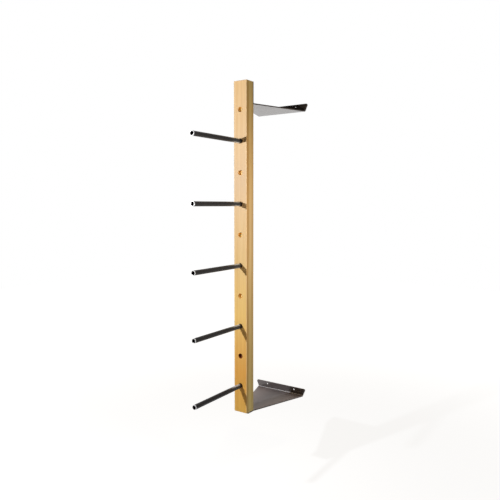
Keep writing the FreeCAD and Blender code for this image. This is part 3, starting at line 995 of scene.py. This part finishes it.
def drill(piece, place, axis, narrow, wide=None, deep=0.02):
    """Takes a round or conical hole out of a plate."""
    mesh = bmesh.new()
    wide = narrow if wide is None else wide
    bmesh.ops.create_cone(mesh, cap_ends=True, segments=HOLE_SIDES, radius1=wide, radius2=narrow,
                          depth=deep)
    tool = bpy.data.objects.new("drill", bpy.data.meshes.new("drill"))
    turn = Vector((0, 0, 1)).rotation_difference(Vector(axis)).to_matrix().to_4x4()
    mesh.transform(Matrix.Translation(place) @ turn)
    mesh.to_mesh(tool.data)
    mesh.free()
    scene.collection.objects.link(tool)
    hole = piece.modifiers.new("hole", "BOOLEAN")
    hole.object = tool
    hole.solver = "EXACT"
    settled(piece)
    bpy.data.objects.remove(tool)


lower = plate_from_walk("lower_bracket_sheet", lower_walk(), bracket_sheet)
upper = plate_from_walk("upper_bracket_sheet", upper_walk(), bracket_sheet)
wall_holes = ((lower, post_low.z, LOWER_WALL_HOLE), (upper, upper_low.z + SHEET, UPPER_WALL_HOLE))
for piece, plate_top, radius in wall_holes:
    for side in (-1, 1):
        place = (side * WALL_HOLE_STEP / 2, -SHEET / 2, plate_top + WALL_HOLE_HEIGHT)
        drill(piece, place, (0, 1, 0), radius)
for index in range(2):
    drill(upper, (0, post_high.y - SHEET / 2, LAG_HEIGHT + index * LAG_STEP), (0, 1, 0), LAG_HOLE_RADIUS)
for side in (-1, 1):
    x = side * WOOD_SCREW_STEP / 2
    drill(lower, (x, tongue_middle, post_low.z - SHEET / 2), (0, 0, 1), SEAT_NARROW)
    drill(lower, (x, tongue_middle, post_low.z - SHEET + SEAT_DEEP / 2), (0, 0, 1), SEAT_NARROW,
          SEAT_WIDE, SEAT_DEEP)
for piece, node in ((lower, "lower_bracket"), (upper, "upper_bracket")):
    soften(piece, SHEET_EDGE)
    hand_over(piece, "rack", "bracket_steel", node)

# %% [markdown]
# ## The pegs
# A peg is a ring section carried round an axis: a long thin rectangle with its corners
# rounded, swept round a circle. The same tree makes a washer, which is a ring that is wide and
# short. Each peg is its own mesh because each one slides in and out by itself.


# %% Node tree of a turned ring
BREAK_STEPS = 3


def turned_ring_rule():
    """A rectangle with rounded corners, swept round a circle."""
    rule, size = new_rule("turned_ring", Outer=0.01, Wall=0.002, Length=0.1, Break=0.0004, Sides=64)
    broken = rounded_outline(rule, size["Wall"], size["Length"], BREAK_STEPS, size["Break"])
    middle = calc(rule, "SUBTRACT", size["Outer"], times(rule, size["Wall"], 0.5))
    circle = put(rule, "GeometryNodeCurvePrimitiveCircle",
                 {"Resolution": size["Sides"], "Radius": middle})
    ring = put(rule, "GeometryNodeCurveToMesh",
               {"Curve": circle.outputs[0], "Profile Curve": broken})
    end_rule(rule, ring.outputs[0], black_tube)
    return rule


# %% Grow the five pegs
PEG_WALL = 0.00165
PEG_BREAK = 0.0004
PEG_SIDES = 96

turned_ring = turned_ring_rule()
lying = Matrix.Rotation(QUARTER, 4, "X")
for node in peg_nodes:
    low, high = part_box(node)
    peg = grown(turned_ring, node + "_tube", black_tube, Outer=PEG_RADIUS, Wall=PEG_WALL,
                Length=high.y - low.y, Break=PEG_BREAK, Sides=PEG_SIDES)
    middle = Vector((0, (low.y + high.y) / 2, (low.z + high.z) / 2))
    peg.data.transform(Matrix.Translation(middle) @ lying)
    shaded(peg)
    peg.data.materials.append(sawn_steel)
    for face in peg.data.polygons:
        if face.center.y < low.y + PEG_BREAK or face.center.y > high.y - PEG_BREAK:
            face.material_index = 1
    hand_over(peg, node + "_body", "peg_steel", node)

# %% [markdown]
# ## Screws
# A screw is a head on a shank with a thread wound round it. The thread follows a rule, a
# helix, so it is a node tree: a small diamond section is swept along a spiral, over a core
# that is thinner than the thread. Two kinds are needed. A hexagon-headed lag screw holds the
# upper bracket's flange to the back of the post. A flat-headed wood screw with a cross recess
# comes up through the lower bracket's tongue into the foot of the post.

# %% Node tree of a threaded shank
CORE_SHARE, TOOTH_SHARE = 0.68, 0.32
TIP_RADIUS = 0.0004
SHANK_SIDES = 32


def threaded_shank(rule, size, smooth_part):
    """Core, thread and point along +Z, from the head's underside at zero."""
    core = times(rule, size["Radius"], CORE_SHARE)
    tooth = times(rule, size["Radius"], TOOTH_SHARE)
    run = calc(rule, "SUBTRACT", size["Length"], plus(rule, size["Point"], smooth_part))
    plain = cylinder(rule, SHANK_SIDES, size["Radius"], smooth_part)
    bare = calc(rule, "SUBTRACT", size["Length"], size["Point"])
    inner = cylinder(rule, SHANK_SIDES, core, bare)
    tip = cone(rule, SHANK_SIDES, core, TIP_RADIUS, size["Point"])
    helix = put(rule, "GeometryNodeCurveSpiral",
                {"Resolution": 20, "Rotations": calc(rule, "DIVIDE", run, size["Lead"]),
                 "Start Radius": core, "End Radius": core, "Height": run})
    section = put(rule, "GeometryNodeCurvePrimitiveCircle", {"Resolution": 4, "Radius": tooth})
    thread = put(rule, "GeometryNodeCurveToMesh",
                 {"Curve": helix.outputs[0], "Profile Curve": section.outputs[0], "Fill Caps": True})
    return [moved(rule, plain, times(rule, smooth_part, 0.5)), moved(rule, inner, times(rule, bare, 0.5)),
            moved(rule, tip, bare), moved(rule, thread.outputs[0], smooth_part)]


# %% Node trees of the two screws
HEAD_SIDES = 48
CROWN_FACE, CROWN_FOOT = 0.48, 0.85
LAG_SMOOTH, WOOD_SMOOTH = 0.010, 0.016


def lag_screw_rule():
    """Hexagon head below zero with its corners turned off, threaded shank above."""
    rule, size = new_rule("lag_screw", Radius=0.003, Length=0.036, Point=0.006, Lead=0.0025,
                          Flats=0.011, Head=0.0044)
    corner = calc(rule, "DIVIDE", size["Flats"], 2 * math.cos(math.radians(30)))
    hexagon = cylinder(rule, 6, corner, size["Head"])
    crown = cone(rule, HEAD_SIDES, times(rule, size["Flats"], CROWN_FACE),
                 times(rule, size["Flats"], CROWN_FOOT), size["Head"])
    hexagon = moved(rule, hexagon, times(rule, size["Head"], -0.5))
    crown = moved(rule, crown, times(rule, size["Head"], -1.0))
    head = put(rule, "GeometryNodeMeshBoolean", {"Mesh 2": [hexagon, crown]},
               operation="INTERSECT", solver="EXACT")
    shank = threaded_shank(rule, size, LAG_SMOOTH)
    whole = put(rule, "GeometryNodeJoinGeometry", {0: [head.outputs["Mesh"], *shank]})
    end_rule(rule, whole.outputs[0], zinc_plate)
    return rule


def wood_screw_rule():
    """Flat head at zero with a cross recess, conical seat and threaded shank above."""
    rule, size = new_rule("wood_screw", Radius=0.00275, Length=0.050, Point=0.008, Lead=0.0024,
                          Wide=0.0055, Seat=0.003, Span=0.0052, Slot=0.0011, Recess=0.002)
    seat = cone(rule, HEAD_SIDES, size["Wide"], size["Radius"], size["Seat"])
    slots = []
    for turn in (0.0, QUARTER):
        across = at(rule, size["Span"], size["Slot"], times(rule, size["Recess"], 2.0))
        block = put(rule, "GeometryNodeMeshCube", {"Size": across})
        slots.append(moved(rule, block.outputs[0], turn=(0, 0, turn)))
    head = put(rule, "GeometryNodeMeshBoolean", {"Mesh 1": seat, "Mesh 2": slots},
               operation="DIFFERENCE", solver="EXACT")
    shank = put(rule, "GeometryNodeJoinGeometry", {0: threaded_shank(rule, size, WOOD_SMOOTH)})
    raised = moved(rule, shank.outputs[0], size["Seat"])
    whole = put(rule, "GeometryNodeJoinGeometry", {0: [head.outputs["Mesh"], raised]})
    end_rule(rule, whole.outputs[0], zinc_plate)
    return rule


# %% Grow the lag screws, their washers and the wood screws
WASHER_BREAK = 0.0002
WASHER_HOLE = 0.00345
LAG_SHANK = 0.0031
LAG_HEAD = 0.0044
LAG_FLATS = 0.0111
SCREW_HEAD_RADIUS = 0.0055
SCREW_RADIUS = 0.00275
SCREW_SHARP = 30.0

lag_screw, wood_screw = lag_screw_rule(), wood_screw_rule()
for number in (1, 2):
    low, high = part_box(f"lag_washer_{number}")
    outer = (high.z - low.z) / 2
    washer = grown(turned_ring, f"lag_washer_{number}_ring", zinc_plate, Outer=outer,
                   Wall=outer - WASHER_HOLE, Length=high.y - low.y, Break=WASHER_BREAK, Sides=64)
    washer.data.transform(Matrix.Translation((low + high) / 2) @ lying)
    hand_over(shaded(washer), "rack", "screw_steel", f"lag_washer_{number}")

    low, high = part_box(f"lag_screw_{number}")
    lag = grown(lag_screw, f"lag_screw_{number}_bolt", zinc_plate, Radius=LAG_SHANK,
                Length=high.y - low.y - LAG_HEAD, Head=LAG_HEAD, Flats=LAG_FLATS)
    seat = Vector((0, high.y - LAG_HEAD, (low.z + high.z) / 2))
    lag.data.transform(Matrix.Translation(seat) @ lying)
    hand_over(shaded(lag, SCREW_SHARP), "rack", "screw_steel", f"lag_screw_{number}")

    low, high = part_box(f"wood_screw_{number}")
    deep = (SCREW_HEAD_RADIUS - SCREW_RADIUS) / math.tan(SEAT_LEAN)
    screw = grown(wood_screw, f"wood_screw_{number}_screw", zinc_plate, Radius=SCREW_RADIUS,
                  Length=high.z - low.z - deep, Wide=SCREW_HEAD_RADIUS, Seat=deep)
    screw.data.transform(Matrix.Translation(((low.x + high.x) / 2, (low.y + high.y) / 2, low.z)))
    hand_over(shaded(screw, SCREW_SHARP), "rack", "screw_steel", f"wood_screw_{number}")
